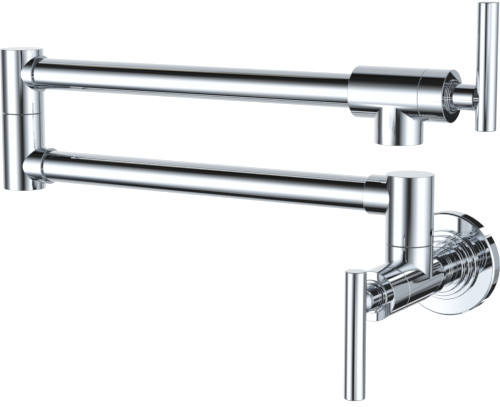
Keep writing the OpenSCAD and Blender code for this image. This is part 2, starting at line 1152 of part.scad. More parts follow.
wall_flange();
flange_gasket();
lock_collar();
collar_o_ring();
inlet_nipple();
valve_body();
wall_bonnet();
wall_cartridge_body();
wall_seat_seal();
wall_fixed_disc();
wall_cartridge_o_ring();
wall_moving_disc();
wall_spindle();
wall_spindle_o_rings();
wall_spindle_clip();
wall_handle_hub();
wall_handle_bar();
wall_handle_stud();
wall_handle_screw();
base_post();
base_post_o_rings();
base_glide_ring();
base_column();
base_set_screw();
lower_arm_tube();
lower_arm_o_rings();
elbow_lower_column();
elbow_post();
elbow_post_o_rings();
elbow_glide_ring();
elbow_upper_column();
elbow_set_screw();
upper_arm_tube();
upper_arm_o_rings();
spout_body();
spout_bonnet();
spout_cartridge_body();
spout_seat_seal();
spout_fixed_disc();
spout_cartridge_o_ring();
spout_moving_disc();
spout_spindle();
spout_spindle_o_rings();
spout_spindle_clip();
spout_handle_hub();
spout_handle_bar();
spout_handle_stud();
spout_handle_screw();
aerator_shell();
aerator_core();
aerator_screen();
aerator_washer();
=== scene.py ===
"""Looks of a wall mounted pot filler with two folding arms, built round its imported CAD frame.

Everything is in metres. +X is right, +Y goes into the wall, +Z is up, and the origin is the
middle of the flange on the wall. The arms are folded and both valves are shut.
"""

import json
import math

import bmesh
import bpy
from bpy.props import FloatProperty, FloatVectorProperty, IntProperty, PointerProperty
from mathutils import Matrix, Vector


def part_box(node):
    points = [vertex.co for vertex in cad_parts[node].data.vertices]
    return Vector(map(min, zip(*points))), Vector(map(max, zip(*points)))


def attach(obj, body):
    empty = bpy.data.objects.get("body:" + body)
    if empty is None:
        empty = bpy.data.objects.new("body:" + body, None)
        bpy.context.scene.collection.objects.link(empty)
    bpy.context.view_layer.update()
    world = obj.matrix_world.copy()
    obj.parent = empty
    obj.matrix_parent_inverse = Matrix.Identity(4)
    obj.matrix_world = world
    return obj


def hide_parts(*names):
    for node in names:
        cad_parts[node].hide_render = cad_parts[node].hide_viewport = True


bl_info = {
    "name": "Pot filler looks",
    "version": (1, 0, 0),
    "blender": (4, 5, 0),
    "location": "3D View > Sidebar > Pot filler",
    "description": "Plated bodies, finishes and a light tent for a folding pot filler",
    "category": "Add Mesh",
}

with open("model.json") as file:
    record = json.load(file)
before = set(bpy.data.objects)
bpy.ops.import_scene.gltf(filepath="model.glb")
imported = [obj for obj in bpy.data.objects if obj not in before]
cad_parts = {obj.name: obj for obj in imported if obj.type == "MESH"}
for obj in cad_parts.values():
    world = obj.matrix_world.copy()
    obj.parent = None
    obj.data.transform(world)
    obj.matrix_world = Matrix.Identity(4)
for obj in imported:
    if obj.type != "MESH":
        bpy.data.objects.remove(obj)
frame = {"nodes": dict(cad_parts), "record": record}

MM = 0.001


def across(node, axis):
    """Size of a CAD node along one axis, in metres."""
    low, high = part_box(node)
    return high[axis] - low[axis]


def middle(node):
    """Middle of a CAD node's box, in metres."""
    low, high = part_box(node)
    return (low + high) / 2


# Half of the seam between a turning column and the one below it
HALF_SEAM = 0.2 * MM
# Depth of a valve from its cartridge seat to its bonnet's face
VALVE_DEPTH = 44 * MM
# Height of the handle bar's axis above the same seat
BAR_AT = 64 * MM
# Height of the guard ring on a bonnet's face
GUARD = 1 * MM
# Height of a set screw above its column's seam
SCREW_HEIGHT = 7.1 * MM
# Depth of a swivel post's seat below the seam
POST_DEPTH = 12 * MM

# Outer radii: columns, wall valve and its rear neck, spout, nozzle, tube collar, handle bar
COLUMN_R = 13.9 * MM
VALVE_R = 14.1 * MM
NECK_R = 12.2 * MM
SPOUT_R = 15 * MM
NOZZLE_R = 14 * MM
COLLAR_R = 11.6 * MM
BAR_R = 6 * MM
# Radii of bores: flange and collar, tube socket, swivel, wide and narrow water way, screws
FLANGE_BORE = 12.3 * MM
SOCKET_R = 10.05 * MM
SWIVEL_R = 9.1 * MM
WAY_R = 7.5 * MM
NARROW_WAY_R = 5.5 * MM
SCREW_R = 2.05 * MM
# Walls of the flange and of the arm tubes
FLANGE_WALL = 1.6 * MM
TUBE_WALL = 1.2 * MM
# Distance of a tube's end from its column's axis
TUBE_STOP = 9.5 * MM
# Faces round a bore, round a small hole, and round the pipe and the tent
BORE_STEPS, HOLE_STEPS, PIPE_STEPS = 64, 48, 96
# Angle from which an edge between two faces is drawn sharp
SHARP = math.radians(30)

# Quarter turn that lays a shape's Z towards the room
LAID = Matrix.Rotation(math.pi / 2, 4, "X")

# Sockets of a mix node that mixes colours: both colours, and the result
MIX_A, MIX_B, MIX_OUT = 6, 7, 2

# Where the axes lie, read from the frame
LOWER_TUBE = middle("lower_arm_tube")
UPPER_TUBE = middle("upper_arm_tube")
STANDOFF = -LOWER_TUBE.y
BASE_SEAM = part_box("base_column")[0].z - HALF_SEAM
ELBOW_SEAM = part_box("elbow_upper_column")[0].z - HALF_SEAM
ELBOW_X = middle("elbow_post").x
NOZZLE_X = middle("aerator_shell").x


def linear(colour):
    """Linear RGBA of an sRGB hex colour such as #C0C8D0."""
    parts = [int(colour[at : at + 2], 16) / 255 for at in (1, 3, 5)]
    return [
        part / 12.92 if part <= 0.04045 else ((part + 0.055) / 1.055) ** 2.4
        for part in parts
    ] + [1.0]


def set_inputs(tree, node, inputs):
    """Links sockets to a node's inputs, and sets its other inputs to values."""
    for name, value in inputs.items():
        if isinstance(value, bpy.types.NodeSocket):
            tree.links.new(value, node.inputs[name])
        else:
            node.inputs[name].default_value = value


def add_node(tree, kind, settings=None, inputs=None):
    """Adds a shader node, sets its settings and ramp stops, and sets or links its inputs."""
    made = tree.nodes.new("ShaderNode" + kind)
    for name, value in (settings or {}).items():
        if name == "stops":
            stops = made.color_ramp.elements
            stops[0].position, stops[0].color = value[0]
            stops[1].position, stops[1].color = value[-1]
            for position, colour in value[1:-1]:
                stops.new(position).color = colour
        else:
            setattr(made, name, value)
    set_inputs(tree, made, inputs or {})
    return made


class PotFillerShape(bpy.types.PropertyGroup):
    """Small forms that the looks add to the CAD sizes."""

    rim: FloatProperty(
        name="Rim rounding", description="Radius to which the turned rims are polished",
        default=0.3 * MM, min=0.05 * MM, max=0.6 * MM, unit="LENGTH", precision=5,
    )
    handle_rim: FloatProperty(
        name="Handle rim rounding",
        description="Radius of the rims on the handle bars and hubs", default=0.6 * MM,
        min=0.2 * MM, max=1.2 * MM, unit="LENGTH", precision=5,
    )
    thread_pitch: FloatProperty(
        name="Thread pitch", description="Pitch of the half inch parallel pipe thread",
        default=1.814 * MM, min=1 * MM, max=2.5 * MM, unit="LENGTH", precision=5,
    )
    turns: IntProperty(
        name="Facets round", description="Number of faces round a turned form", default=200,
        min=32, max=256,
    )


class PotFillerFinish(bpy.types.PropertyGroup):
    """Colours and polish of the surfaces."""

    chrome: FloatVectorProperty(
        name="Chrome", description="Colour of the chrome plate", subtype="COLOR", size=4,
        min=0, max=1, default=linear("#E4E7EA"),
    )
    chrome_roughness: FloatProperty(
        name="Chrome roughness", description="Roughness of the buffed plate", default=0.012,
        min=0, max=0.3, subtype="FACTOR",
    )


class PotFillerStudio(bpy.types.PropertyGroup):
    """Light tent and floor."""

    tent_radius: FloatProperty(
        name="Tent radius", description="Distance from the base column to the tent's cloth",
        default=1.4, min=1, max=3, unit="LENGTH",
    )
    tent_strength: FloatProperty(
        name="Tent strength", description="Brightness of the tent's whitest cloth",
        default=1.27, min=0, max=3,
    )
    floor_drop: FloatProperty(
        name="Floor drop", description="Height of the outlet above the floor", default=1.35,
        min=0.9, max=2, unit="LENGTH",
    )
    floor: FloatVectorProperty(
        name="Floor", description="Colour of the pale floor", subtype="COLOR", size=4,
        min=0, max=1, default=linear("#F4F4F3"),
    )


def rim():
    """Radius to which the turned rims are polished."""
    return bpy.context.scene.pot_filler_shape.rim


def turned(outline, ring=False, steps=None):
    """Spins an outline of (radius, height, rounding) points about Z.

    A ring's outline closes on itself, and any other ends on the axis. Beside each rounded
    corner lies a holding edge, so that the flats keep flat reflections.
    """
    shape = bpy.context.scene.pot_filler_shape
    hold = 0.04 * MM
    corners = [(point + (0,))[:3] for point in outline]
    path = []
    for index, (radius, height, soft) in enumerate(corners):
        here = Vector((radius, 0, height))
        around = []
        for neighbour in (index - 1, index + 1):
            held = None
            if soft and (ring or 0 <= neighbour < len(corners)):
                other = corners[neighbour % len(corners)]
                way = Vector((other[0], 0, other[1])) - here
                if way.length - other[2] > soft + 2 * hold:
                    held = here + way.normalized() * (soft + hold)
            around.append(held)
        path += [spot for spot in (around[0], here, around[1]) if spot]
    bm = bmesh.new()
    spots = [bm.verts.new(spot) for spot in path]
    lines = [bm.edges.new(pair) for pair in zip(spots, spots[1:])]
    if ring:
        lines.append(bm.edges.new((spots[-1], spots[0])))
    bmesh.ops.spin(
        bm, geom=spots + lines, cent=(0, 0, 0), axis=(0, 0, 1), angle=math.tau,
        steps=steps or shape.turns, use_merge=True,
    )
    merge = 0.0001 * MM
    bmesh.ops.remove_doubles(bm, verts=bm.verts[:], dist=merge)
    for radius, height, soft in corners:
        if soft:
            bmesh.ops.bevel(
                bm, geom=edge_loop(bm, radius, height), offset=soft, offset_type="OFFSET",
                segments=4, profile=0.5, affect="EDGES", clamp_overlap=False, material=-1,
            )
    bmesh.ops.recalc_face_normals(bm, faces=bm.faces[:])
    return bm


def edge_loop(bm, radius, height):
    """Edges of the circle with this radius at this height."""
    near = 0.002 * MM
    return [
        edge
        for edge in bm.edges
        if all(
            abs(vert.co.xy.length - radius) < near and abs(vert.co.z - height) < near
            for vert in edge.verts
        )
    ]


def rod(radius, start, end, soft=0.0, steps=None):
    """Round bar from one height to another, with both rims rounded."""
    return turned(
        [(0, start), (radius, start, soft), (radius, end, soft), (0, end)], steps=steps
    )


def placed(bm, place):
    """Moves a shape to a place."""
    bm.transform(place)
    return bm


def outward(y=0.0):
    """Lays a shape's Z away from the wall, from depth y."""
    return Matrix.Translation((0, y, 0)) @ LAID


def upright(x, z=0.0):
    """Stands a shape in the plane of the arms."""
    return Matrix.Translation((x, -STANDOFF, z))


def rightward(x, z):
    """Lays a shape's Z to the right, from a point in the plane of the arms."""
    return upright(x, z) @ Matrix.Rotation(math.pi / 2, 4, "Y")


def leftward(x, z):
    """Lays a shape's Z to the left, from a point in the plane of the arms."""
    return upright(x, z) @ Matrix.Rotation(-math.pi / 2, 4, "Y")


def wall_valve():
    """Place of the wall valve's seat, with Z out to its handle and Y up."""
    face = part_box("wall_bonnet")[0].y + GUARD
    return outward(face + VALVE_DEPTH)


def spout_valve():
    """Place of the spout valve's seat, with Z right to its handle and Y up."""
    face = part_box("spout_bonnet")[1].x - GUARD
    turn = Matrix.Rotation(math.pi / 2, 4, "Z")
    return upright(face - VALVE_DEPTH, UPPER_TUBE.z) @ (turn @ LAID)


def combined(first, joins=(), cuts=()):
    """Joins shapes to the first one, then cuts shapes out of it, and returns the result."""
    collection = bpy.context.scene.collection
    made = []
    for shape in (first, *joins, *cuts):
        mesh = bpy.data.meshes.new("tool")
        shape.to_mesh(mesh)
        shape.free()
        tool = bpy.data.objects.new("tool", mesh)
        collection.objects.link(tool)
        made.append(tool)
    for index, tool in enumerate(made[1:]):
        step = made[0].modifiers.new("step", "BOOLEAN")
        step.object = tool
        step.operation = "UNION" if index < len(joins) else "DIFFERENCE"
        step.solver = "EXACT"
    ready = made[0].evaluated_get(bpy.context.evaluated_depsgraph_get())
    result = bmesh.new()
    result.from_mesh(ready.to_mesh())
    ready.to_mesh_clear()
    for tool in made:
        mesh = tool.data
        bpy.data.objects.remove(tool)
        bpy.data.meshes.remove(mesh)
    if not result.faces:
        raise RuntimeError("a joined shape came out empty")
    merge = 0.0005 * MM
    bmesh.ops.remove_doubles(result, verts=result.verts[:], dist=merge)
    bmesh.ops.dissolve_degenerate(result, edges=result.edges[:], dist=merge)
    return result


def new_piece(name, bm, finish):
    """Makes an object of a shape, with one finish."""
    mesh = bpy.data.meshes.new(name)
    bm.to_mesh(mesh)
    bm.free()
    mesh.shade_smooth()
    mesh.materials.append(finish)
    piece = bpy.data.objects.new(name, mesh)
    bpy.context.scene.collection.objects.link(piece)
    return piece


def finished(name, bm, finish, body, slot, *nodes):
    """Makes the shape a piece with its finish, on its body, in place of CAD nodes."""
    piece = new_piece(name, bm, finish)
    piece.data.set_sharp_from_angle(angle=SHARP)
    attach(piece, body)
    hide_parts(*nodes)


def chromed(name, bm, body, node):
    """Makes the shape a piece of buffed chrome in place of one CAD node."""
    finished(name, bm, chrome_on_turning(), body, "chrome", node)


def new_finish(name):
    """Returns (material, its tree, its shader), or (material, None, None) if it exists."""
    known = bpy.data.materials.get(name)
    if known:
        return known, None, None
    made = bpy.data.materials.new(name)
    made.use_nodes = True
    return made, made.node_tree, made.node_tree.nodes["Principled BSDF"]


def stretched_place(tree, stretch):
    """Place on a piece in metres, times a stretch, so that a grain can run along an axis."""
    place = add_node(tree, "TexCoord")
    return add_node(
        tree, "Mapping", inputs={"Vector": place.outputs["Object"], "Scale": stretch},
    ).outputs["Vector"]


def plated(name, wave, depth, stretch):
    """Bright nickel and chrome plate, a few thousandths of a millimetre thick.

    The base is buffed by hand, so the reflection swims very slightly at the buff's own wave,
    and fine wiping haze varies the roughness over a few centimetres.
    """
    made, tree, shader = new_finish(name)
    if tree is None:
        return made
    look = bpy.context.scene.pot_filler_finish
    laid = stretched_place(tree, stretch)
    haze = add_node(
        tree, "TexNoise", inputs={"Vector": laid, "Scale": 1 / (24 * MM), "Detail": 4.0},
    )
    rough = add_node(
        tree, "MapRange",
        inputs={
            "Value": haze.outputs["Fac"], "From Min": 0.3, "From Max": 0.7,
            "To Min": look.chrome_roughness * 0.6, "To Max": look.chrome_roughness * 1.3,
        },
    )
    tone = add_node(
        tree, "Mix", {"data_type": "RGBA"},
        {
            "Factor": haze.outputs["Fac"], MIX_A: look.chrome,
            MIX_B: [part * 0.985 for part in look.chrome[:3]] + [1.0],
        },
    )
    swim = add_node(
        tree, "TexNoise", inputs={"Vector": laid, "Scale": 1 / wave, "Detail": 1.0},
    )
    bump = add_node(
        tree, "Bump",
        inputs={"Strength": 1.0, "Distance": depth, "Height": swim.outputs["Fac"]},
    )
    surface = {
        "Base Color": tone.outputs[MIX_OUT], "Roughness": rough.outputs["Result"],
        "Normal": bump.outputs["Normal"], "Metallic": 1.0,
    }
    set_inputs(tree, shader, surface)
    return made


def chrome_on_tube():
    """Chrome plate on drawn brass tube: the draw runs the reflections out along X."""
    return plated("Chrome plate on drawn tube", 11 * MM, 0.0003 * MM, (0.15, 1, 1))


def chrome_on_turning():
    """Chrome plate on turned and buffed brass: nearly true, with a slight hand buffed swim."""
    return plated("Chrome plate on turned brass", 9 * MM, 0.0004 * MM, (1, 1, 1))


def grained(name, colour, deep, grain, depth, metallic, rough, stretch=(1, 1, 1)):
    """A plain finish with its own grain in colour, roughness and relief."""
    made, tree, shader = new_finish(name)
    if tree is None:
        return made
    laid = stretched_place(tree, stretch)
    speck = add_node(
        tree, "TexNoise", inputs={"Vector": laid, "Scale": 1 / grain, "Detail": 5.0},
    )
    tone = add_node(
        tree, "ValToRGB", {"stops": [(0.3, linear(deep)), (0.7, linear(colour))]},
        {"Fac": speck.outputs["Fac"]},
    )
    gloss = add_node(
        tree, "MapRange",
        inputs={
            "Value": speck.outputs["Fac"], "From Min": 0.3, "From Max": 0.7,
            "To Min": rough[0], "To Max": rough[1],
        },
    )
    relief = add_node(
        tree, "Bump",
        inputs={"Strength": 1.0, "Distance": depth, "Height": speck.outputs["Fac"]},
    )
    surface = {
        "Base Color": tone.outputs["Color"], "Roughness": gloss.outputs["Result"],
        "Normal": relief.outputs["Normal"], "Metallic": metallic,
    }
    set_inputs(tree, shader, surface)
    return made


def turned_brass():
    """Bare brass as machined: warm, with fine tool marks along X, about 0.2 mm apart."""
    return grained(
        "Turned brass", "#E0C07C", "#C9A45E", 1.6 * MM, 0.004 * MM, 1.0, (0.2, 0.34),
        (1, 8, 8),
    )


def plain_steel():
    """Stainless steel, stamped and tumbled: dull grey with soft speckle."""
    return grained(
        "Tumbled stainless steel", "#B9BCC0", "#9A9DA2", 0.8 * MM, 0.003 * MM, 1.0,
        (0.28, 0.42),
    )


def dark_steel():
    """Black oxide on hardened steel screws: dark brown grey with an oily sheen."""
    return grained(
        "Black oxide steel", "#3B3A3B", "#262627", 0.6 * MM, 0.003 * MM, 1.0, (0.3, 0.45)
    )


def moulded_rubber():
    """Nitrile rubber, moulded and greased: black with a soft sheen."""
    return grained(
        "Moulded nitrile rubber", "#262626", "#1B1B1C", 1.2 * MM, 0.01 * MM, 0.0,
        (0.42, 0.6),
    )


def foam_rubber():
    """Closed cell foam, cut from sheet: charcoal, with cut cells about 0.9 mm across."""
    made, tree, shader = new_finish("Closed cell foam")
    if tree is None:
        return made
    place = add_node(tree, "TexCoord")
    cells = add_node(
        tree, "TexVoronoi", {"feature": "F1"},
        {"Vector": place.outputs["Object"], "Scale": 1 / (0.9 * MM)},
    )
    tone = add_node(
        tree, "ValToRGB", {"stops": [(0.1, linear("#1E1F20")), (0.6, linear("#3A3B3D"))]},
        {"Fac": cells.outputs["Distance"]},
    )
    relief = add_node(
        tree, "Bump",
        inputs={
            "Strength": 1.0, "Distance": 0.12 * MM, "Height": cells.outputs["Distance"],
        },
    )
    surface = {
        "Base Color": tone.outputs["Color"], "Roughness": 0.85,
        "Normal": relief.outputs["Normal"],
    }
    set_inputs(tree, shader, surface)
    return made


def lapped_alumina():
    """Alumina ceramic, sintered and lapped flat: ivory, dense and glossy."""
    return grained(
        "Lapped alumina", "#F2F0E9", "#E9E6DC", 2 * MM, 0.001 * MM, 0.0, (0.12, 0.2)
    )


def natural_acetal():
    """Acetal, moulded without pigment: milky white with a waxy sheen."""
    return grained(
        "Natural acetal", "#EFEEE8", "#E4E2DA", 3 * MM, 0.004 * MM, 0.0, (0.35, 0.48)
    )


class POTFILLER_OT_flange(bpy.types.Operator):
    """Makes the round wall flange and the stepped collar that locks it"""

    bl_idname = "pot_filler.flange"
    bl_label = "Flange and collar"

    def execute(self, context):
        radius = across("wall_flange", 0) / 2
        depth = across("wall_flange", 1)
        chamfer = 0.9 * MM
        soft = 0.2 * MM
        plate = turned(
            [
                (FLANGE_BORE, depth - FLANGE_WALL), (FLANGE_BORE, depth, soft / 2),
                (radius - chamfer, depth, soft), (radius, depth - chamfer, soft),
                (radius, 0, soft), (radius - FLANGE_WALL, 0, soft),
                (radius - FLANGE_WALL, depth - FLANGE_WALL, 4 * soft),
            ],
            ring=True,
        )
        chromed("flange", placed(plate, outward()), "root", "wall_flange")
        radii = [21 * MM, 18.2 * MM, 15.5 * MM, FLANGE_BORE]
        tops = [3 * MM, 6.6 * MM, 10 * MM]
        outline = [(FLANGE_BORE, 0), (radii[0], 0, soft / 2)]
        for outer, inner, top in zip(radii, radii[1:], tops):
            outline += [(outer, top, 0.5 * MM), (inner, top, 0.15 * MM)]
        groove_r, groove_top, groove_foot = 13.4 * MM, 4.85 * MM, 3.55 * MM
        outline += [
            (FLANGE_BORE, groove_top), (groove_r, groove_top), (groove_r, groove_foot),
            (FLANGE_BORE, groove_foot),
        ]
        stepped = placed(turned(outline, ring=True), outward(-depth))
        chromed("stepped_collar", stepped, "root", "lock_collar")
        return {"FINISHED"}


class POTFILLER_OT_inlet(bpy.types.Operator):
    """Makes the threaded pipe nipple behind the flange"""

    bl_idname = "pot_filler.inlet"
    bl_label = "Threaded nipple"

    def execute(self, context):
        pitch = context.scene.pot_filler_shape.thread_pitch
        major = across("inlet_nipple", 0) / 2
        minor = major - 1.16 * MM
        middle_r = major - 0.8 * MM
        bore = 6.5 * MM
        out, back, grip = 20 * MM, 2 * MM, 16 * MM
        soft = 0.1 * MM
        shank = turned(
            [
                (bore, -out, 3 * soft), (minor - 0.5 * MM, -out, soft),
                (minor, 0.6 * MM - out, soft), (minor, 0), (middle_r, 0.2 * MM),
                (middle_r, back), (minor, back), (minor, back + grip), (bore, back + grip),
            ],
            ring=True, steps=PIPE_STEPS,
        )
        threads = ((0.8 * MM - out, -0.9 * MM), (back + MM, back + grip - MM))
        ridges = [self.thread(minor, major, pitch, *ends) for ends in threads]
        nipple = combined(shank, joins=ridges)
        finished(
            "threaded_nipple", placed(nipple, outward()), turned_brass(), "root",
            "brass", "inlet_nipple",
        )
        return {"FINISHED"}

    def thread(self, minor, major, pitch, start, end):
        """Ridge of a 55 degree pipe thread between two heights, which runs out at its ends."""
        facets = 48
        count = round((end - start - pitch) / pitch * facets)
        bm = bmesh.new()
        foot = minor - 0.1 * MM
        half_foot, half_crest, fade = 0.44 * pitch, 0.12 * pitch, 0.8 * pitch
        section = [
            (foot, -half_foot), (major, -half_crest), (major, half_crest),
            (foot, half_foot),
        ]
        base = start + 0.5 * pitch
        spots = [bm.verts.new((radius, 0, base + rise)) for radius, rise in section]
        face = bm.faces.new(spots)
        bmesh.ops.spin(
            bm, geom=[face] + face.edges[:] + spots, cent=(0, 0, 0), axis=(0, 0, 1),
            dvec=(0, 0, pitch / facets), angle=math.tau * count / facets, steps=count,
        )
        for vert in bm.verts:
            reach = vert.co.xy.length
            if reach > minor:
                rise = vert.co.z - base
                room = min(rise, end - start - pitch - rise) + 0.25 * pitch
                share = max(0.0, min(1.0, room / fade))
                vert.co.xy *= (foot + (reach - foot) * share) / reach
        bmesh.ops.recalc_face_normals(bm, faces=bm.faces[:])
        return bm


def bonnet(radius, length):
    """Bonnet of a valve, from its clamp ring up to its guard ring."""
    seam = VALVE_DEPTH - length
    top = VALVE_DEPTH
    foot, shelf = 17 * MM, 36.4 * MM
    clamp_r, inner_r, spindle_r = 12.1 * MM, 7.4 * MM, 4.6 * MM
    guard_out, guard_in, guard_foot, guard_soft = 9.3 * MM, 7.7 * MM, 0.15 * MM, 0.3 * MM
    return turned(
        [
            (inner_r, foot), (clamp_r, foot, 0.2 * MM), (clamp_r, seam),
            (radius, seam, rim()), (radius, top, rim()), (guard_out, top, guard_foot),
            (guard_out, top + GUARD, guard_soft), (guard_in, top + GUARD, guard_soft),
            (guard_in, top, guard_foot), (spindle_r, top, 0.2 * MM), (spindle_r, shelf),
            (inner_r, shelf),
        ],
        ring=True,
    )


def chamber(reach):
    """Space for a cartridge and its bonnet, from the seat up."""
    seat_r, clamp_r, shoulder = 10.9 * MM, 12.2 * MM, 12.9 * MM
    return turned(
        [(0, 0), (seat_r, 0), (seat_r, shoulder), (clamp_r, shoulder), (clamp_r, reach),
         (0, reach)],
        steps=BORE_STEPS,
    )


def post_seat(place):
    """Space for a swivel post and its glide ring, down from the seam at a place."""
    ring_r, post_r = 11.55 * MM, 8.05 * MM
    ring_foot, post_foot = -1.2 * MM, -9.2 * MM
    shape = turned(
        [(0, MM), (ring_r, MM), (ring_r, ring_foot), (post_r, ring_foot),
         (post_r, post_foot), (NARROW_WAY_R, post_foot), (NARROW_WAY_R, -POST_DEPTH),
         (0, -POST_DEPTH)],
        steps=BORE_STEPS,
    )
    return placed(shape, place)


def swivel_bores(top, place):
    """Bore for a post, to this height over the seam at a place, and the way above it."""
    way_foot, way_top = 15 * MM, 33 * MM
    return [
        placed(rod(SWIVEL_R, -MM, top, steps=BORE_STEPS), place),
        placed(rod(WAY_R, way_foot, way_top, steps=BORE_STEPS), place),
    ]


def column(x, start, end):
    """Upright column between two heights."""
    return placed(rod(COLUMN_R, start, end, rim()), upright(x))


def collar(reach, arm):
    """Collar round a tube's end, from the column's axis, with its open end rounded."""
    return placed(rod(COLLAR_R, 0, reach, rim()), arm)


def tube_socket(reach, arm):
    """Space for a tube's end and the water way behind it."""
    shape = turned(
        [(0, 0), (WAY_R, 0), (WAY_R, TUBE_STOP), (SOCKET_R, TUBE_STOP),
         (SOCKET_R, reach + MM), (0, reach + MM)]
    )
    return placed(shape, arm)


def screw_hole(place):
    """Hole for a set screw, with a countersunk mouth at the column's face."""
    foot, mouth, face, mouth_r = 5 * MM, 13.4 * MM, 14.4 * MM, 3 * MM
    shape = turned(
        [(0, foot), (SCREW_R, foot), (SCREW_R, mouth), (mouth_r, face), (0, face)],
        steps=HOLE_STEPS,
    )
    return placed(shape, place)


class POTFILLER_OT_wall_valve(bpy.types.Operator):
    """Makes the wall valve: its body with rear and upright necks, and its bonnet"""

    bl_idname = "pot_filler.wall_valve"
    bl_label = "Wall valve"

    def execute(self, context):
        front = -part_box("valve_body")[0].y
        seat = -wall_valve().translation.y
        back, shoulder = 2 * MM, 40.3 * MM
        barrel = turned(
            [
                (0, back), (NECK_R, back, 0.2 * MM), (NECK_R, shoulder, 0.15 * MM),
                (VALVE_R, shoulder, rim()), (VALVE_R, front, rim()), (0, front),
            ]
        )
        inlet_r, inlet_end, way_end = 10.53 * MM, 18 * MM, seat + 0.5 * MM
        clear, cap_length = 60 * MM, 20.1 * MM
        bores = turned(
            [(0, 0), (inlet_r, 0), (inlet_r, inlet_end), (NARROW_WAY_R, inlet_end),
             (NARROW_WAY_R, way_end), (0, way_end)],
            steps=BORE_STEPS,
        )
        body = combined(
            placed(barrel, outward()), joins=[column(0, 0, BASE_SEAM - HALF_SEAM)],
            cuts=[
                placed(bores, outward()), placed(chamber(clear), wall_valve()),
                post_seat(upright(0, BASE_SEAM)),
            ],
        )
        chromed("wall_valve_body", body, "root", "valve_body")
        cap = placed(bonnet(VALVE_R, cap_length), wall_valve())
        chromed("wall_valve_bonnet", cap, "root", "wall_bonnet")
        return {"FINISHED"}


class POTFILLER_OT_base_column(bpy.types.Operator):
    """Makes the column that turns on the wall valve and carries the lower arm"""

    bl_idname = "pot_filler.base_column"
    bl_label = "Base column"

    def execute(self, context):
        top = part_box("base_column")[1].z
        reach = -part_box("base_column")[0].x
        arm = leftward(0, LOWER_TUBE.z)
        post_top = 16 * MM
        shape = combined(
            column(0, BASE_SEAM + HALF_SEAM, top), joins=[collar(reach, arm)],
            cuts=[
                *swivel_bores(post_top, upright(0, BASE_SEAM)), tube_socket(reach, arm),
                screw_hole(rightward(0, BASE_SEAM + SCREW_HEIGHT)),
            ],
        )
        chromed("base_turning_column", shape, "lower_arm", "base_column")
        return {"FINISHED"}


class POTFILLER_OT_elbow(bpy.types.Operator):
    """Makes both halves of the elbow column with their tube collars"""

    bl_idname = "pot_filler.elbow"
    bl_label = "Elbow"

    def execute(self, context):
        seam = upright(ELBOW_X, ELBOW_SEAM)
        low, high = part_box("elbow_lower_column")
        reach = high.x - ELBOW_X
        arm = rightward(ELBOW_X, LOWER_TUBE.z)
        way_foot, way_top = 40.7 * MM, 70 * MM
        way = rod(WAY_R, way_foot, way_top, steps=BORE_STEPS)
        lower = combined(
            column(ELBOW_X, low.z, ELBOW_SEAM - HALF_SEAM), joins=[collar(reach, arm)],
            cuts=[placed(way, upright(ELBOW_X)), tube_socket(reach, arm), post_seat(seam)],
        )
        chromed("elbow_lower_half", lower, "lower_arm", "elbow_lower_column")
        low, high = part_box("elbow_upper_column")
        reach = high.x - ELBOW_X
        arm = rightward(ELBOW_X, UPPER_TUBE.z)
        post_top = 15.2 * MM
        upper = combined(
            column(ELBOW_X, low.z, high.z), joins=[collar(reach, arm)],
            cuts=[
                *swivel_bores(post_top, seam), tube_socket(reach, arm),
                screw_hole(leftward(ELBOW_X, ELBOW_SEAM + SCREW_HEIGHT)),
            ],
        )
        chromed("elbow_upper_half", upper, "upper_arm", "elbow_upper_column")
        return {"FINISHED"}


class POTFILLER_OT_arms(bpy.types.Operator):
    """Makes the two drawn arm tubes"""

    bl_idname = "pot_filler.arms"
    bl_label = "Arm tubes"

    def execute(self, context):
        for body in ("lower_arm", "upper_arm"):
            node = body + "_tube"
            low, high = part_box(node)
            radius = across(node, 1) / 2
            inner = radius - TUBE_WALL
            length = high.x - low.x
            tube = turned(
                [
                    (inner, 0, 0.2 * MM), (radius, 0, 0.3 * MM), (radius, length, 0.3 * MM),
                    (inner, length, 0.2 * MM),
                ],
                ring=True,
            )
            tube = placed(tube, rightward(low.x, middle(node).z))
            finished(body, tube, chrome_on_tube(), body, "chrome", node)
        return {"FINISHED"}


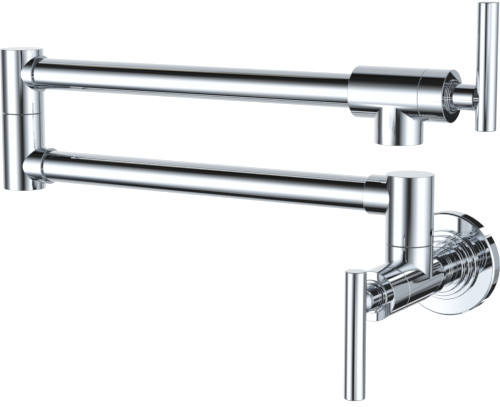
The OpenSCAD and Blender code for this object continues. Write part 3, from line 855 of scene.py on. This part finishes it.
class POTFILLER_OT_spout(bpy.types.Operator):
    """Makes the spout's barrel with its nozzle, its bonnet and the aerator's shell"""

    bl_idname = "pot_filler.spout"
    bl_label = "Spout"

    def execute(self, context):
        low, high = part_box("spout_body")
        drop = UPPER_TUBE.z - low.z
        along = rightward(0, UPPER_TUBE.z)
        nozzle = upright(NOZZLE_X, low.z)
        flare_r, mouth_r, pocket_r = 13 * MM, 12.2 * MM, 11.9 * MM
        bevel, deep = 0.3 * MM, 12 * MM
        pocket = turned(
            [(0, -MM), (flare_r, -MM), (mouth_r, 0), (pocket_r, bevel), (pocket_r, deep),
             (0, deep)],
        )
        drop_way_r, way_foot, way_end = 3.2 * MM, 11 * MM, -18 * MM
        socket, way_start, clear, cap_length = 8 * MM, 6 * MM, 50 * MM, 14.8 * MM
        shape = combined(
            placed(rod(SPOUT_R, low.x, high.x, rim()), along),
            joins=[placed(rod(NOZZLE_R, 0, drop, rim()), nozzle)],
            cuts=[
                placed(pocket, nozzle),
                placed(rod(drop_way_r, way_foot, drop, steps=HOLE_STEPS), nozzle),
                placed(chamber(clear), spout_valve()),
                placed(
                    rod(NARROW_WAY_R, low.x + way_start, way_end, steps=BORE_STEPS), along
                ),
                placed(rod(SOCKET_R, low.x - MM, low.x + socket), along),
            ],
        )
        chromed("spout_barrel", shape, "upper_arm", "spout_body")
        cap = placed(bonnet(SPOUT_R, cap_length), spout_valve())
        chromed("spout_valve_bonnet", cap, "upper_arm", "spout_bonnet")
        lip_r, outer_r, inner_r = 9.6 * MM, 11.8 * MM, 10.5 * MM
        lip, top = 0.9 * MM, 9.6 * MM
        shell = turned(
            [
                (lip_r, 0, 0.15 * MM), (outer_r, 0, 0.3 * MM), (outer_r, top, 0.2 * MM),
                (inner_r, top), (inner_r, lip), (lip_r, lip),
            ],
            ring=True,
        )
        shell = placed(shell, upright(NOZZLE_X, low.z + MM))
        chromed("aerator_housing", shell, "upper_arm", "aerator_shell")
        return {"FINISHED"}


class POTFILLER_OT_handles(bpy.types.Operator):
    """Makes the hub and the bar of both handles"""

    bl_idname = "pot_filler.handles"
    bl_label = "Handles"

    def execute(self, context):
        soft = context.scene.pot_filler_shape.handle_rim
        foot, shoulder, top = 44.3 * MM, 58.8 * MM, 63.4 * MM
        hub_r, waist_r, saddle_r, spindle_r = 7.3 * MM, 5.3 * MM, 6.05 * MM, 4.05 * MM
        grub_at, spindle_top, stud_top = 50 * MM, 55.1 * MM, 62.6 * MM
        flat = Matrix.Rotation(-math.pi / 2, 4, "X")
        across_hub = Matrix.Translation((0, 0, BAR_AT)) @ flat
        grub = Matrix.Translation((0, 0, grub_at)) @ LAID
        for valve, place, below, above in (
            ("wall", wall_valve(), 53 * MM, 18 * MM),
            ("spout", spout_valve(), 18 * MM, 53 * MM),
        ):
            hub = combined(
                turned(
                    [
                        (0, foot), (hub_r, foot, 0.4 * MM), (hub_r, shoulder, 0.5 * MM),
                        (waist_r, top), (0, top),
                    ]
                ),
                cuts=[
                    placed(rod(saddle_r, -20 * MM, 20 * MM), across_hub),
                    rod(spindle_r, 40 * MM, spindle_top, steps=BORE_STEPS),
                    rod(SCREW_R, 55 * MM, 66 * MM, steps=HOLE_STEPS),
                    placed(rod(SCREW_R, 0, 9 * MM, steps=HOLE_STEPS), grub),
                ],
            )
            chromed(valve + "_lever_hub", placed(hub, place), valve + "_handle",
                    valve + "_handle_hub")
            bar = combined(
                placed(rod(BAR_R, -below, above, soft), across_hub),
                cuts=[rod(SCREW_R, 50 * MM, stud_top, steps=HOLE_STEPS)],
            )
            chromed(valve + "_lever_bar", placed(bar, place), valve + "_handle",
                    valve + "_handle_bar")
        return {"FINISHED"}


class POTFILLER_OT_inner_parts(bpy.types.Operator):
    """Gives the seals, discs, posts, spindles, screws and aerator parts their finishes"""

    bl_idname = "pot_filler.inner_parts"
    bl_label = "Inner parts"

    def execute(self, context):
        slots = {
            part["node"]: part["material_slot"] for part in frame["record"]["subparts"]
        }
        by_slot = {
            "chrome": chrome_on_turning(), "brass": turned_brass(), "steel": plain_steel(),
            "rubber": moulded_rubber(), "ceramic": lapped_alumina(),
            "plastic": natural_acetal(),
        }
        own = {"flange_gasket": foam_rubber()}
        for node, piece in frame["nodes"].items():
            finish = by_slot[slots[node]]
            if node.endswith("_screw"):
                finish = dark_steel()
            piece.data.materials.clear()
            piece.data.materials.append(own.get(node, finish))
        return {"FINISHED"}


# Tones of the tent's cloths and cards, as polished chrome shows them
TONES = {
    "ink": "#101010",
    "black": "#222222",
    "coal": "#3A3A3B",
    "slate": "#5E6062",
    "steel": "#7E8286",
    "grey": "#A3A9AF",
    "silver": "#C4C9CE",
    "cloth": "#D5D7D9",
    "pale": "#E6EAEE",
    "white": "#FFFFFF",
    "straw": "#8C8670",
}

# Round the tent at the height of the arms: bearing in degrees from the room, + to the right
TENT_ROUND = [
    (-180, "silver"), (-150, "cloth"), (-110, "cloth"), (-97, "grey"), (-87, "coal"),
    (-83, "coal"), (-72, "slate"), (-66, "steel"), (-60, "grey"), (-54, "pale"),
    (-50, "white"), (-18, "white"), (-13, "pale"), (-8, "silver"), (-3, "grey"),
    (3, "steel"), (8, "slate"), (13, "coal"), (18, "black"), (26, "black"), (31, "slate"),
    (36, "steel"), (43, "grey"), (52, "silver"), (60, "pale"), (67, "white"), (92, "white"),
]
TENT_ROUND_REST = [
    (92, "white"), (105, "pale"), (118, "silver"), (130, "grey"), (139, "steel"),
    (145, "slate"), (148, "coal"), (152, "steel"), (158, "grey"), (180, "silver"),
]

# Up and down the tent, in degrees, for the front cloth, the right one and the back one
TENT_FRONT = [
    (-90, "ink"), (-64, "ink"), (-59, "coal"), (-55, "slate"), (-50, "steel"),
    (-44, "grey"), (-37, "silver"), (-31, "pale"), (-26, "white"), (7, "white"),
    (14, "pale"), (20, "silver"), (25, "grey"), (30, "steel"), (36, "slate"), (42, "coal"),
    (46, "black"), (50, "ink"), (90, "ink"),
]
TENT_RIGHT = [
    (-90, "slate"), (-50, "grey"), (-25, "white"), (12, "white"), (30, "pale"),
    (42, "grey"), (56, "slate"), (90, "black"),
]
TENT_BACK = [
    (-90, "grey"), (-57, "grey"), (-45, "cloth"), (-15, "white"), (25, "white"),
    (38, "pale"), (50, "cloth"), (75, "silver"),
]

# Bearings between which the right and the back cloth come in and go out
RIGHT_EDGES = (22, 28, 142, 148)
BACK_EDGES = (142, 148, -92, -80)
# Light that the darkest cloth still sends back
CLOTH_FLOOR = (0.008, 0.0076, 0.0072)

# Cards hung before the cloth: bearing, height, half width and half height in degrees, the
# softness of the edge, and the tone. The first is the round one below the arms.
CARDS = [
    (-89, -64, 17, 0, 6, "black"), (-85, 55, 4.5, 7, 3, "straw"),
    (-60, 42, 14, 5, 6, "black"), (-94, 50, 4, 6, 3, "silver"),
    (-60, -50, 6, 5, 5, "steel"), (5, -27.5, 9, 3.5, 3, "black"),
    (21, -0.5, 11.5, 3, 2, "grey"), (38, 3, 12, 4, 3, "pale"), (126, -17, 5, 5, 4, "slate"),
    (-17, -16.5, 6.5, 3.5, 2.5, "pale"), (-7, -16.5, 4.5, 3.5, 4, "grey"),
    (7, -16.5, 9, 3.5, 6, "black"), (36, -16.5, 13, 3.5, 7, "silver"),
    (57, -16.5, 9, 3.5, 6, "white"), (118, -15.5, 5.5, 3, 3, "slate"),
    (147.5, -10, 2.5, 5, 1, "black"), (154, 12.5, 3.5, 5, 2.5, "steel"),
    (163, -4, 8.5, 13, 4, "grey"), (166, -18, 8.5, 5, 4, "steel"),
    (151.5, -5, 2, 14, 1, "grey"), (166.5, 17.5, 4.5, 4, 1, "white"),
    (160, 12, 2.5, 3, 1, "black"), (-178, 21, 11, 4, 1, "black"),
    (161, 18.5, 2.5, 2.5, 1, "coal"), (165.5, 23.5, 2.5, 2, 1, "white"),
    (171, 26.5, 3.5, 2, 0.5, "black"), (160, -21, 2.5, 2.5, 2, "slate"),
    (170, -28.5, 9, 5.5, 1, "black"), (-179, -25, 6, 2, 0.5, "black"),
    (-178.5, -29, 2.5, 2.5, 0.5, "cloth"), (-171.5, -28.5, 4, 3, 0.5, "black"),
    (-171.5, -24.5, 1.5, 1.5, 0.5, "white"), (-166, -21, 3.5, 3.5, 0.5, "black"),
]


def ramp_stops(line, half):
    """Stops of a ramp for a line of (angle, tone) that runs from -half to +half degrees."""
    return [((angle + half) / (2 * half), linear(TONES[tone])) for angle, tone in line]


def zone_stops(edges):
    """Stops of a ramp of the tent's bearing that comes in and goes out at four edges."""
    stops = sorted(zip(edges, (0, 1, 1, 0)))
    behind = stops[-1][1]
    stops = [(-180, behind), *stops, (180, behind)]
    return [((angle + 180) / 360, (share,) * 3 + (1,)) for angle, share in stops]


def tent_way(tree, centre):
    """Way from the tent's middle to its cloth: unit vector, bearing and height."""
    place = add_node(tree, "TexCoord")
    way = add_node(
        tree, "VectorMath", {"operation": "SUBTRACT"},
        {0: place.outputs["Object"], 1: centre},
    )
    unit = add_node(tree, "VectorMath", {"operation": "NORMALIZE"}, {0: way.outputs[0]})
    parts = add_node(tree, "SeparateXYZ", inputs={"Vector": unit.outputs[0]})
    room = add_node(
        tree, "Math", {"operation": "MULTIPLY"}, {0: parts.outputs["Y"], 1: -1.0}
    )
    bearing = add_node(
        tree, "Math", {"operation": "ARCTAN2"}, {0: parts.outputs["X"], 1: room.outputs[0]},
    )
    rise = add_node(tree, "Math", {"operation": "ARCSINE"}, {0: parts.outputs["Z"]})
    return unit.outputs[0], bearing.outputs[0], rise.outputs[0]


def tent_tone(tree, bearing, rise):
    """Bare cloth: its tones round the tent times those up and down it."""
    turn, height = (
        add_node(
            tree, "MapRange", inputs={"Value": angle, "From Min": -half, "From Max": half},
        ).outputs["Result"]
        for angle, half in ((bearing, math.pi), (rise, math.pi / 2))
    )
    round_one, round_rest, front, right, back = (
        add_node(
            tree, "ValToRGB", {"stops": ramp_stops(line, half)}, {"Fac": along}
        ).outputs["Color"]
        for line, half, along in (
            (TENT_ROUND, 180, turn), (TENT_ROUND_REST, 180, turn), (TENT_FRONT, 90, height),
            (TENT_RIGHT, 90, height), (TENT_BACK, 90, height),
        )
    )
    rest_from = ramp_stops(TENT_ROUND_REST, 180)[0][0]
    past = add_node(tree, "Math", {"operation": "GREATER_THAN"}, {0: turn, 1: rest_from})
    around = add_node(
        tree, "Mix", {"data_type": "RGBA"},
        {0: past.outputs[0], MIX_A: round_one, MIX_B: round_rest},
    )
    side = front
    for tone, edges in ((right, RIGHT_EDGES), (back, BACK_EDGES)):
        zone = add_node(tree, "ValToRGB", {"stops": zone_stops(edges)}, {"Fac": turn})
        side = add_node(
            tree, "Mix", {"data_type": "RGBA"},
            {0: zone.outputs["Color"], MIX_A: side, MIX_B: tone},
        ).outputs[MIX_OUT]
    return add_node(
        tree, "VectorMath", {"operation": "MULTIPLY_ADD"},
        {0: around.outputs[MIX_OUT], 1: side, 2: CLOTH_FLOOR},
    ).outputs[0]


def round_reach(tree, unit, bearing_at, height_at):
    """Angle from a round card's middle."""
    lifted = Matrix.Rotation(-math.radians(height_at), 3, "X") @ Vector((0, -1, 0))
    aligned = add_node(
        tree, "VectorMath", {"operation": "DOT_PRODUCT"},
        {0: unit, 1: Matrix.Rotation(math.radians(bearing_at), 3, "Z") @ lifted},
    )
    return add_node(
        tree, "Math", {"operation": "ARCCOSINE"}, {0: aligned.outputs["Value"]}
    ).outputs[0]


def oblong_reach(tree, bearing, rise, bearing_at, height_at, longer):
    """Angle from an oblong card's middle, which is its half width all round its edge."""
    sideways = (
        ("SUBTRACT", {1: math.radians(bearing_at)}), ("WRAP", {1: math.pi, 2: -math.pi}),
        ("ABSOLUTE", {}),
    )
    upward = (
        ("SUBTRACT", {1: math.radians(height_at)}), ("ABSOLUTE", {}),
        ("ADD", {1: math.radians(longer)}),
    )
    reaches = []
    for reach, steps in ((bearing, sideways), (rise, upward)):
        for operation, others in steps:
            reach = add_node(
                tree, "Math", {"operation": operation}, {0: reach, **others}
            ).outputs[0]
        reaches.append(reach)
    return add_node(
        tree, "Math", {"operation": "MAXIMUM"}, {0: reaches[0], 1: reaches[1]}
    ).outputs[0]


def tent_cloth(centre, strength):
    """White cloth of a light tent, lit through from outside, with cards hung before it.

    Only mirrors see it, so it shapes their reflections and lights nothing else.
    """
    made = bpy.data.materials.new("Lit tent cloth")
    made.use_nodes = True
    tree = made.node_tree
    tree.nodes.clear()
    unit, bearing, rise = tent_way(tree, centre)
    cloth = tent_tone(tree, bearing, rise)
    for bearing_at, height_at, wide, tall, soft, tone in CARDS:
        if tall:
            reach = oblong_reach(tree, bearing, rise, bearing_at, height_at, wide - tall)
        else:
            reach = round_reach(tree, unit, bearing_at, height_at)
        card = add_node(
            tree, "MapRange", {"interpolation_type": "SMOOTHSTEP"},
            {
                "Value": reach, "From Min": math.radians(wide - soft / 2),
                "From Max": math.radians(wide + soft / 2), "To Min": 1.0, "To Max": 0.0,
            },
        )
        cloth = add_node(
            tree, "Mix", {"data_type": "RGBA"},
            {0: card.outputs["Result"], MIX_A: cloth, MIX_B: linear(TONES[tone])},
        ).outputs[MIX_OUT]
    glow = add_node(tree, "Emission", inputs={"Color": cloth, "Strength": strength})
    add_node(tree, "OutputMaterial", inputs={"Surface": glow.outputs["Emission"]})
    return made


def black_felt():
    """Wool felt on card, dyed black: matt, with a short nap that breaks up the light."""
    return grained(
        "Black felt", "#242426", "#161618", 1.5 * MM, 0.05 * MM, 0.0, (0.85, 0.97)
    )


def seen_straight(tree):
    """1 for what the camera sees, also in a mirror or through glass, and 0 for lighting."""
    rays = add_node(tree, "LightPath")
    seen = rays.outputs["Is Camera Ray"]
    for kind in ("Is Glossy Ray", "Is Transmission Ray"):
        seen = add_node(
            tree, "Math", {"operation": "MAXIMUM"}, {0: seen, 1: rays.outputs[kind]},
        ).outputs[0]
    return seen


def pale_floor(colour):
    """Matt painted floor: pale, with broad soft mottling, and white where it is seen."""
    made, tree, shader = new_finish("Matt floor paint")
    place = add_node(tree, "TexCoord")
    mottle = add_node(
        tree, "TexNoise",
        inputs={"Vector": place.outputs["Object"], "Scale": 2.0, "Detail": 3.0},
    )
    tone = add_node(
        tree, "Mix", {"data_type": "RGBA"},
        {
            "Factor": mottle.outputs["Fac"], MIX_A: colour,
            MIX_B: [part * 0.98 for part in colour[:3]] + [1.0],
        },
    )
    whiter = 0.3
    lift = add_node(
        tree, "Math", {"operation": "MULTIPLY"}, {0: seen_straight(tree), 1: whiter}
    )
    surface = {
        "Base Color": tone.outputs[MIX_OUT], "Roughness": 0.9,
        "Emission Color": (1, 1, 1, 1), "Emission Strength": lift.outputs[0],
    }
    set_inputs(tree, shader, surface)
    return made


# Middle of the tent, on the axis of the base column
TENT_MIDDLE = Vector((0, -STANDOFF, 40 * MM))
# Half the floor's width
FLOOR_REACH = 60

# Felt cards: middle, lean about Y in degrees, width and height
SPOUT_CARD = ((0.142, 0.21, 0.077), 0, 0.032, 0.048)
HANDLE_CARD = ((0.069, -0.6, 0.118), -49, 0.106, 0.22)
# Cut across the spout card's upper corner: a point and the way off the card
CORNER_CUT = ((0.1414, 0.21, 0.0935), (-0.712, 0, 0.702))

# The photo's camera, fitted to its outlines: lens and sensor in mm, its place and its aim
LENS, SENSOR = 123.76, 36
CAMERA_PLACE = Vector((0.4003, -0.9471, 0.2073))
CAMERA_AIM = Vector((-0.1145, -0.0455, 0.0328))


class POTFILLER_OT_studio(bpy.types.Operator):
    """Makes the floor, the light tent, the felt cards, the world and the camera"""

    bl_idname = "pot_filler.studio"
    bl_label = "Studio"

    def execute(self, context):
        scene = context.scene
        studio = scene.pot_filler_studio
        self.floor(studio)
        self.tent(studio)
        self.felt_card("spout_card", SPOUT_CARD, CORNER_CUT)
        self.felt_card("handle_card", HANDLE_CARD)
        self.world(scene)
        self.camera(scene)
        scene.view_settings.view_transform = "Standard"
        return {"FINISHED"}

    def floor(self, studio):
        """Wide pale floor below the outlet."""
        bm = bmesh.new()
        bmesh.ops.create_grid(bm, x_segments=8, y_segments=8, size=FLOOR_REACH)
        bm.transform(Matrix.Translation((0, 0, -studio.floor_drop)))
        self.stage_piece("floor", bm, pale_floor(studio.floor))

    def tent(self, studio):
        """Round cloth tent about the base column, which only mirrors see."""
        bm = bmesh.new()
        bmesh.ops.create_uvsphere(
            bm, u_segments=PIPE_STEPS, v_segments=PIPE_STEPS // 2, radius=studio.tent_radius
        )
        bmesh.ops.reverse_faces(bm, faces=bm.faces[:])
        bm.transform(Matrix.Translation(TENT_MIDDLE))
        cloth = tent_cloth(TENT_MIDDLE, studio.tent_strength)
        self.only_mirrored(self.stage_piece("light_tent", bm, cloth))

    def felt_card(self, name, card, cut=None):
        """Black card that only mirrors see.

        The one behind the wall's plane darkens the spout's end face, which mirrors the white
        cloth past its cut corner. The leaning one in the room darkens the spout's handle bar.
        """
        spot, lean, wide, tall = card
        bm = bmesh.new()
        bmesh.ops.create_grid(bm, x_segments=1, y_segments=1, size=0.5)
        bm.transform(
            Matrix.Translation(spot)
            @ Matrix.Rotation(math.radians(lean), 4, "Y")
            @ LAID
            @ Matrix.Diagonal((wide, tall, 1, 1))
        )
        if cut:
            bmesh.ops.bisect_plane(
                bm, geom=bm.verts[:] + bm.edges[:] + bm.faces[:], plane_co=cut[0],
                plane_no=cut[1], clear_outer=True,
            )
        self.only_mirrored(self.stage_piece(name, bm, black_felt()))

    def only_mirrored(self, piece):
        """Lets mirrors alone see a piece of the studio."""
        for ray in ("camera", "diffuse", "transmission", "shadow", "volume_scatter"):
            setattr(piece, "visible_" + ray, False)

    def stage_piece(self, name, bm, finish):
        """Makes an object of a shape with one finish, for use in the studio."""
        piece = new_piece(name, bm, finish)
        return piece

    def world(self, scene):
        """White surroundings at the plain level that shows colours as they are."""
        world = scene.world or bpy.data.worlds.new("Studio")
        scene.world = world
        world.use_nodes = True
        tree = world.node_tree
        tree.nodes.clear()
        level = add_node(
            tree, "MapRange",
            inputs={"Value": seen_straight(tree), "To Min": 0.85, "To Max": 1.0},
        )
        sky = add_node(
            tree, "Background",
            inputs={"Color": (1, 1, 1, 1), "Strength": level.outputs["Result"]},
        )
        add_node(tree, "OutputWorld", inputs={"Surface": sky.outputs["Background"]})

    def camera(self, scene):
        """Long lens, right of the outlet and a little above it."""
        data = bpy.data.cameras.new("camera")
        data.lens = LENS
        data.sensor_width = SENSOR
        data.clip_start, data.clip_end = 0.05, 200
        camera = bpy.data.objects.new("camera", data)
        scene.collection.objects.link(camera)
        camera.location = CAMERA_PLACE
        camera.rotation_mode = "QUATERNION"
        camera.rotation_quaternion = (CAMERA_AIM - CAMERA_PLACE).to_track_quat("-Z", "Y")
        scene.camera = camera


STEPS = (
    POTFILLER_OT_inner_parts,
    POTFILLER_OT_flange,
    POTFILLER_OT_inlet,
    POTFILLER_OT_wall_valve,
    POTFILLER_OT_base_column,
    POTFILLER_OT_elbow,
    POTFILLER_OT_arms,
    POTFILLER_OT_spout,
    POTFILLER_OT_handles,
    POTFILLER_OT_studio,
)


class POTFILLER_PT_looks(bpy.types.Panel):
    """Lists the pot filler's settings and steps"""

    bl_idname = "POTFILLER_PT_looks"
    bl_label = "Pot filler"
    bl_space_type = "VIEW_3D"
    bl_region_type = "UI"
    bl_category = "Pot filler"

    def draw(self, context):
        layout = self.layout
        scene = context.scene
        shape, finish = scene.pot_filler_shape, scene.pot_filler_finish
        for group in (shape, finish, scene.pot_filler_studio):
            box = layout.box()
            for name in group.__annotations__:
                box.prop(group, name)
        for step in STEPS:
            layout.operator(step.bl_idname)


CLASSES = (PotFillerShape, PotFillerFinish, PotFillerStudio, *STEPS, POTFILLER_PT_looks)


def register():
    """Registers the classes and their settings."""
    for item in CLASSES:
        bpy.utils.register_class(item)
    bpy.types.Scene.pot_filler_shape = PointerProperty(type=PotFillerShape)
    bpy.types.Scene.pot_filler_finish = PointerProperty(type=PotFillerFinish)
    bpy.types.Scene.pot_filler_studio = PointerProperty(type=PotFillerStudio)


def unregister():
    """Removes them again."""
    del bpy.types.Scene.pot_filler_studio
    del bpy.types.Scene.pot_filler_finish
    del bpy.types.Scene.pot_filler_shape
    for item in reversed(CLASSES):
        bpy.utils.unregister_class(item)


def main():
    register()
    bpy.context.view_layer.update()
    for step in STEPS:
        group, name = step.bl_idname.split(".")
        if getattr(getattr(bpy.ops, group), name)() != {"FINISHED"}:
            raise RuntimeError(step.bl_label + " didn't finish")


if __name__ == "__main__":
    main()
